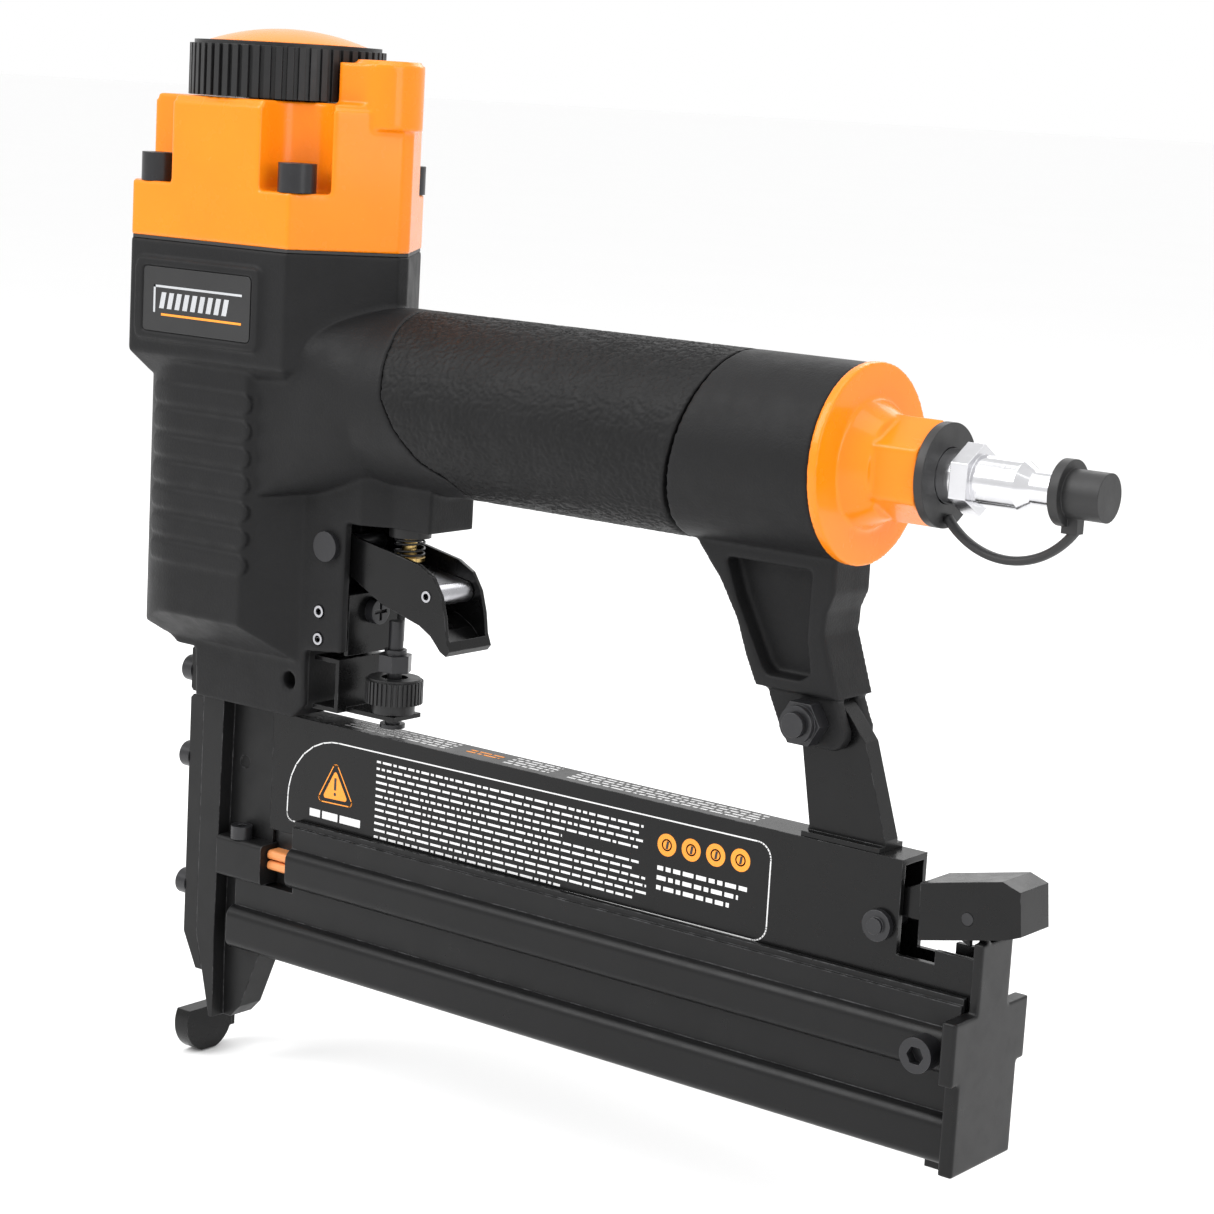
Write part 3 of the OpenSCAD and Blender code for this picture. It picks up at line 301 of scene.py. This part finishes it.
NODE_MATERIAL = {
    "powder": ["housing"],
    "orange": ["head_cap", "exhaust_dome", "inlet_cap"],
    "ring": ["exhaust_ring", "depth_wheel", "valve_bushing"],
    "rubber": ["grip_sleeve"],
    "soft": ["dust_cap", "dust_cap_ring", "dust_cap_strap", "cap_gasket", "o_rings", "bumper"],
    "sheet": ["trigger", "guide_plate", "safety_bracket", "safety_arm", "magazine_body",
              "leg_bracket", "latch", "contact_foot"],
    "slide": ["magazine_slide", "end_cap"],
    "nose": ["nose_body", "front_door", "upper_plate", "nose_clamp"],
    "screw": ["cap_screws", "exhaust_screw", "trigger_pin", "guide_screw", "nose_screws",
              "door_screws", "clamp_screws", "leg_bolt", "leg_nut", "end_cap_screw", "arm_screws",
              "depth_rod", "depth_nut", "latch_pin", "latch_axle"],
    "steel": ["trip_lever", "trip_pin", "cheek_pins", "driver_blade", "head_valve_spring",
              "valve_spring", "safety_spring", "pusher_spring", "latch_spring"],
    "chrome": ["air_plug"],
    "brass": ["valve_stem"],
    "copper": ["pusher"],
    "acetal": ["head_valve", "piston_ring"],
    "alloy": ["cylinder_sleeve", "piston"],
    "badge": ["badge_plate"],
}


def paint_nodes():
    for key, names in NODE_MATERIAL.items():
        for name in names:
            for slot in NODES[name].material_slots:
                slot.material = MATERIALS[key]


# ---------------------------------------------------------------- mesh helpers

def add_piece(name, mesh, body, material):
    piece = bpy.data.objects.new(name, mesh)
    bpy.context.scene.collection.objects.link(piece)
    mesh.materials.clear()
    mesh.materials.append(MATERIALS[material])
    if body:
        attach(piece, body)
    return piece


def finished(piece):
    """Applies the modifiers by making the evaluated mesh the piece's own."""
    bpy.context.view_layer.update()
    depsgraph = bpy.context.evaluated_depsgraph_get()
    mesh = bpy.data.meshes.new_from_object(piece.evaluated_get(depsgraph))
    piece.modifiers.clear()
    piece.data = mesh
    return piece


def recast(node, body, material, voxel, rounds):
    """Rounded copy of a casting: closed voxel mesh, then smoothed so that edges and corners round off."""
    bm = bmesh.new()
    bm.from_mesh(NODES[node].data)
    bmesh.ops.remove_doubles(bm, verts=bm.verts, dist=1e-6)
    mesh = bpy.data.meshes.new(node + "_cast")
    bm.to_mesh(mesh)
    bm.free()
    piece = add_piece(node + "_cast", mesh, body, material)
    remesh = piece.modifiers.new("voxels", "REMESH")
    remesh.mode = "VOXEL"
    remesh.voxel_size = voxel * MM
    smooth = piece.modifiers.new("smooth", "SMOOTH")
    smooth.factor = 0.5
    smooth.iterations = rounds
    finished(piece)
    piece.data.shade_smooth()
    piece.data.materials.clear()
    piece.data.materials.append(MATERIALS[material])
    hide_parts(node)
    return piece


def sweep(name, path, radius, sides, body, material, flat=1.0, closed_ends=True):
    """Round or oval bar along a path of points in millimetres."""
    bm = bmesh.new()
    rings = []
    points = [Vector(p) * MM for p in path]
    up = Vector((0, 1, 0))
    for k, point in enumerate(points):
        ahead = points[min(k + 1, len(points) - 1)] - points[max(k - 1, 0)]
        ahead.normalize()
        if abs(ahead.dot(up)) > 0.9:
            up = Vector((0, 0, 1))
        side = ahead.cross(up).normalized()
        up = side.cross(ahead).normalized()
        rings.append([bm.verts.new(point + (side * math.cos(a) * flat + up * math.sin(a)) * radius * MM)
                      for a in (2 * math.pi * i / sides for i in range(sides))])
    for a, b in zip(rings, rings[1:]):
        for i in range(sides):
            j = (i + 1) % sides
            bm.faces.new((a[i], a[j], b[j], b[i]))
    if closed_ends:
        bm.faces.new(list(reversed(rings[0])))
        bm.faces.new(rings[-1])
    bmesh.ops.recalc_face_normals(bm, faces=bm.faces)
    mesh = bpy.data.meshes.new(name)
    bm.to_mesh(mesh)
    bm.free()
    mesh.shade_smooth()
    return add_piece(name, mesh, body, material)


def coil(name, node, start, end, radius, wire, turns, joint=None):
    """Wound spring between two points in millimetres, with closed end turns."""
    start, end = Vector(start), Vector(end)
    axis = (end - start).normalized()
    side = axis.cross(Vector((0, 1, 0)) if abs(axis.y) < 0.9 else Vector((1, 0, 0))).normalized()
    other = axis.cross(side)
    length = (end - start).length
    steps = int(turns * 20)
    path = []
    for k in range(steps + 1):
        t = k / steps
        eased = t + 0.35 / turns * math.sin(2 * math.pi * t) * -1
        along = wire + (length - 2 * wire) * min(1, max(0, eased))
        a = 2 * math.pi * turns * t
        path.append(start + axis * along + (side * math.cos(a) + other * math.sin(a)) * radius)
    body = NODES[node]["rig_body"]
    piece = sweep(name, path, wire, 8, body, "wire")
    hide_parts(node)
    if joint:
        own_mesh(piece)
    return piece


def side_prisms(bm, outlines, y_face, height):
    """Thin raised shapes on a face that looks along -Y; outlines are lists of (x, z) in millimetres."""
    for outline in outlines:
        low = [bm.verts.new((x * MM, y_face * MM, z * MM)) for x, z in outline]
        high = [bm.verts.new((x * MM, (y_face - height) * MM, z * MM)) for x, z in outline]
        count = len(outline)
        for i in range(count):
            j = (i + 1) % count
            bm.faces.new((low[i], low[j], high[j], high[i]))
        bm.faces.new(high)
        bm.faces.new(list(reversed(low)))


def prism_piece(name, outlines, y_face, height, body, material, mirror=False, turn=None):
    bm = bmesh.new()
    side_prisms(bm, outlines, y_face, height)
    bmesh.ops.triangulate(bm, faces=[f for f in bm.faces if len(f.verts) > 4])
    if mirror:
        for vert in bm.verts:
            vert.co.y = -vert.co.y
    if turn is not None:
        bmesh.ops.transform(bm, matrix=turn, verts=bm.verts)
    bmesh.ops.recalc_face_normals(bm, faces=bm.faces)
    mesh = bpy.data.meshes.new(name)
    bm.to_mesh(mesh)
    bm.free()
    return add_piece(name, mesh, body, material)


def box_outline(x0, x1, z0, z1, slant=0.0):
    return [(x0, z0), (x1, z0), (x1 + slant, z1), (x0 + slant, z1)]


def disc_outline(x, z, r, count=40):
    return [(x + r * math.cos(2 * math.pi * k / count), z + r * math.sin(2 * math.pi * k / count))
            for k in range(count)]


def rounded(points, radii, steps=8):
    """Polygon with each corner rounded by its own radius."""
    out = []
    count = len(points)
    for k, (point, r) in enumerate(zip(points, radii)):
        here = Vector(point)
        before = (Vector(points[k - 1]) - here).normalized()
        after = (Vector(points[(k + 1) % count]) - here).normalized()
        half = before.angle(after) / 2
        reach = r / math.tan(half)
        a, b = here + before * reach, here + after * reach
        centre = here + (before + after).normalized() * (r / math.sin(half))
        for i in range(steps + 1):
            t = i / steps
            p = (a - centre).lerp(b - centre, t).normalized() * r + centre
            out.append((p.x, p.y))
    return out


def stroke(outline, width):
    """Quads that follow a closed outline as a printed line."""
    quads = []
    count = len(outline)
    for k in range(count):
        a, b = Vector(outline[k]), Vector(outline[(k + 1) % count])
        if (b - a).length < 1e-6:
            continue
        along = (b - a).normalized()
        n = Vector((-along.y, along.x)) * width / 2
        ends = along * width * 0.3
        quads.append([tuple(a - n - ends), tuple(b - n + ends), tuple(b + n + ends), tuple(a + n - ends)])
    return quads


# ---------------------------------------------------------------- castings

def worm_grain(piece):
    """Presses the grip's wrinkled grain into the rubber: rounded worm-shaped bumps."""
    low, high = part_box("grip_sleeve")
    for vert in piece.data.vertices:
        p = vert.co / MM
        radial = Vector((0, p.y, p.z - HANDLE_Z))
        if radial.length < GRIP_RADIUS - 1.0:
            continue
        angle = math.atan2(radial.z, radial.y)
        surface_point = Vector((p.x, math.cos(angle) * GRIP_RADIUS, math.sin(angle) * GRIP_RADIUS))
        q = surface_point * GRAIN_FREQUENCY
        twist = noise.noise_vector(q * 0.55) * 0.9
        value = noise.noise(q + twist)
        height = 1 / (1 + math.exp(-14 * (abs(value) - 0.13)))
        edge = min(1, max(0, (p.x - low.x / MM - 0.6) / 2), max(0, (high.x / MM - 0.6 - p.x) / 2))
        depth = 0.32 * (1 - height) * edge
        vert.co -= radial.normalized() * depth * MM
    piece.data.update()


def build_castings():
    recast("housing", "frame", "powder", 0.55, 5)
    recast("head_cap", "frame", "orange", 0.5, 4)
    recast("inlet_cap", "frame", "orange", 0.45, 3)
    recast("end_cap", "magazine", "slide", 0.4, 3)
    grip = recast("grip_sleeve", "frame", "rubber", 0.42, 3)
    worm_grain(grip)


# ---------------------------------------------------------------- springs and strap

def build_springs():
    coil("safety_coil", "safety_spring", (48.5, 0, 122.9), (48.5, 0, 137), 3.05, 0.42, 6.5,
         "safety_lift")
    coil("valve_coil", "valve_spring", (69.8, 0, 152.4), (69.8, 0, 157.2), 3.9, 0.32, 3.5,
         "valve_stem_lift")
    coil("head_valve_coil", "head_valve_spring", (11.5, 0, 238), (11.5, 0, 256.2), 13.6, 0.8, 4.5,
         "head_valve_slide")
    coil("pusher_coil", "pusher_spring", (44.5, 0, 62.2), (237.5, 0, 62.2), 2.5, 0.35, 36,
         "pusher_feed")


def build_strap():
    path = []
    for k in range(41):
        angle = math.radians(218 + k * (326 - 218) / 40)
        path.append((247.3 + 20.4 * math.cos(angle), 0, 196.9 + 20.4 * math.sin(angle)))
    strap = sweep("cap_strap", path, 1.55, 16, None, "soft", flat=0.7)
    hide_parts("dust_cap_strap")
    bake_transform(strap)


# ---------------------------------------------------------------- printed panels

def build_label():
    """Plain safety panel: outline, triangle, rows of dashes and four discs. No lettering."""
    rng = random.Random(7)
    for mirror, tag in ((False, "near"), (True, "far")):
        outline = rounded([(34.6, 74.7), (35, 99.2), (193.3, 100.2), (193.3, 75.6)], [2.2, 18, 4, 4])
        prism_piece("label_outline_" + tag, stroke(outline, 0.35), -MAGAZINE_SIDE, 0.06, "frame",
                    "print_white", mirror)
        white = []
        for row in range(12):
            z = 96.6 - row * 1.86
            x = 66.5
            end = 157 - rng.random() * 6 - (22 if row in (4, 11) else 0)
            while x < end:
                length = rng.uniform(0.9, 4.2)
                white.append(box_outline(x, min(x + length, end), z, z + 0.62))
                x += length + 0.7
        for row, (x0, x1) in enumerate(((160, 187), (160, 184.5), (160, 182))):
            x = x0
            while x < x1:
                length = rng.uniform(1.2, 3.4)
                white.append(box_outline(x, min(x + length, x1), 87 - row * 2.5, 88.1 - row * 2.5))
                x += length + 0.8
        white.append(box_outline(43, 46.8, 77.6, 79.7))
        white.append(box_outline(47.6, 53.2, 77.6, 79.7))
        white.append(box_outline(54, 61.4, 77.6, 79.7))
        prism_piece("label_rows_" + tag, white, -MAGAZINE_SIDE, 0.05, "frame", "print_white", mirror)
        triangle = rounded([(45.4, 82.3), (51.9, 94.2), (58.8, 82.7)], [1.0, 0.9, 1.0])
        inner = rounded([(47.4, 83.5), (51.9, 91.8), (56.7, 83.8)], [0.7, 0.6, 0.7])
        orange = stroke(triangle, 0.3) + [inner]
        orange += [disc_outline(162.5 + k * 7.35, 93.7 + k * 0.25, 2.85) for k in range(4)]
        prism_piece("label_signs_" + tag, orange, -MAGAZINE_SIDE, 0.05, "frame", "print_orange", mirror)
        dark = [box_outline(51.55, 52.35, 86.2, 89.6), disc_outline(51.95, 85.1, 0.45)]
        for k in range(4):
            x, z = 162.5 + k * 7.35, 93.7 + k * 0.25
            dark += stroke(disc_outline(x, z, 1.35), 0.35)
            dark.append(box_outline(x - 0.35, x + 0.35, z - 1.0, z + 1.0, 0.3))
        prism_piece("label_marks_" + tag, dark, -MAGAZINE_SIDE - 0.05, 0.03, "frame", "print_black",
                    mirror)


def build_top_print():
    """Rows of dashes on the magazine's top face."""
    rng = random.Random(11)
    white, orange = [], []
    for row in range(4):
        z = 3.2 - row * 2.0
        for x0, x1, rows in ((52, 88, white), (93, 104, orange), (107, 122, white), (128, 186, white)):
            if rows is orange and row not in (1, 2):
                continue
            x = x0
            while x < x1:
                length = rng.uniform(1.0, 4.0)
                rows.append(box_outline(x, min(x + length, x1), z, z + 0.8))
                x += length + 0.8
    turn = Matrix.Translation((0, 0, MAGAZINE_TOP * MM)) @ Matrix.Rotation(-math.pi / 2, 4, "X")
    prism_piece("top_rows", white, 0, 0.05, "frame", "print_white", turn=turn)
    prism_piece("top_marks", orange, 0, 0.05, "frame", "print_orange", turn=turn)


def build_badge():
    """Plain badge: a silver border, a row of slanted bars and an orange line under them."""
    low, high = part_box("badge_plate")
    face = low.y / MM
    x0, x1 = low.x / MM, high.x / MM
    z0, z1 = low.z / MM, high.z / MM
    for mirror, tag in ((False, "near"), (True, "far")):
        silver = [box_outline(x0 + 4, x1 - 3, z1 - 5.4, z1 - 4.8), box_outline(x0 + 4, x0 + 4.7, z0 + 5, z1 - 4.8)]
        bars = 9
        for k in range(bars):
            x = x0 + 6.2 + k * 2.9
            silver.append(box_outline(x, x + 1.7, z0 + 6.2, z1 - 6.6, 0.9))
        prism_piece("badge_bars_" + tag, silver, face, 0.06, "frame", "print_silver", mirror)
        prism_piece("badge_line_" + tag, [box_outline(x0 + 7, x1 - 3, z0 + 4.3, z0 + 4.9)], face, 0.06,
                    "frame", "print_orange", mirror)


# ---------------------------------------------------------------- studio

def floor_material():
    material = bpy.data.materials.new("studio_floor")
    material.use_nodes = True
    nodes = Nodes(material)
    shader = nodes.add("ShaderNodeBsdfPrincipled")
    output = nodes.add("ShaderNodeOutputMaterial")
    nodes.link(shader.outputs[0], output.inputs[0])
    socket(shader, "Roughness", 0.9)
    socket(shader, "Specular IOR Level", 0.1)
    nodes.link(nodes.mix(nodes.noise(3, 2, 0.5), rgba((0.97, 0.97, 0.97)), rgba((0.985, 0.985, 0.985))),
               shader.inputs["Base Color"])
    return material


def add_floor():
    bm = bmesh.new()
    bmesh.ops.create_circle(bm, cap_ends=True, segments=96, radius=60)
    mesh = bpy.data.meshes.new("studio_floor")
    bm.to_mesh(mesh)
    bm.free()
    floor = bpy.data.objects.new("studio_floor", mesh)
    floor.location = (0, 0, -0.0004)
    mesh.materials.append(floor_material())
    bpy.context.scene.collection.objects.link(floor)


def add_light(name, azimuth, elevation, distance, size, power):
    """Area light that looks at the tool; azimuth 0 is in front (-Y), 90 is at +X."""
    data = bpy.data.lights.new(name, "AREA")
    data.shape = "RECTANGLE"
    data.size, data.size_y = size
    data.energy = power
    light = bpy.data.objects.new(name, data)
    a, e = math.radians(azimuth), math.radians(elevation)
    place = TARGET + Vector((math.sin(a) * math.cos(e), -math.cos(a) * math.cos(e), math.sin(e))) * distance
    light.matrix_world = Matrix.Translation(place) @ (TARGET - place).to_track_quat("-Z", "Y").to_matrix().to_4x4()
    bpy.context.scene.collection.objects.link(light)


def add_studio():
    add_floor()
    world = bpy.data.worlds.new("studio")
    world.use_nodes = True
    background = world.node_tree.nodes["Background"]
    background.inputs[0].default_value = (1, 1, 1, 1)
    background.inputs[1].default_value = 1.0
    bpy.context.scene.world = world
    bpy.context.scene.view_settings.view_transform = "Standard"
    add_light("key", -35, 42, 1.3, (0.7, 0.9), 9)
    add_light("side", 75, 25, 1.3, (0.5, 1.1), 5)
    add_light("top", 10, 85, 1.2, (1.0, 0.8), 4.5)
    add_light("back", 190, 35, 1.4, (1.0, 0.6), 4)


add_camera()
paint_nodes()
build_castings()
build_springs()
build_strap()
build_label()
build_top_print()
build_badge()
add_studio()
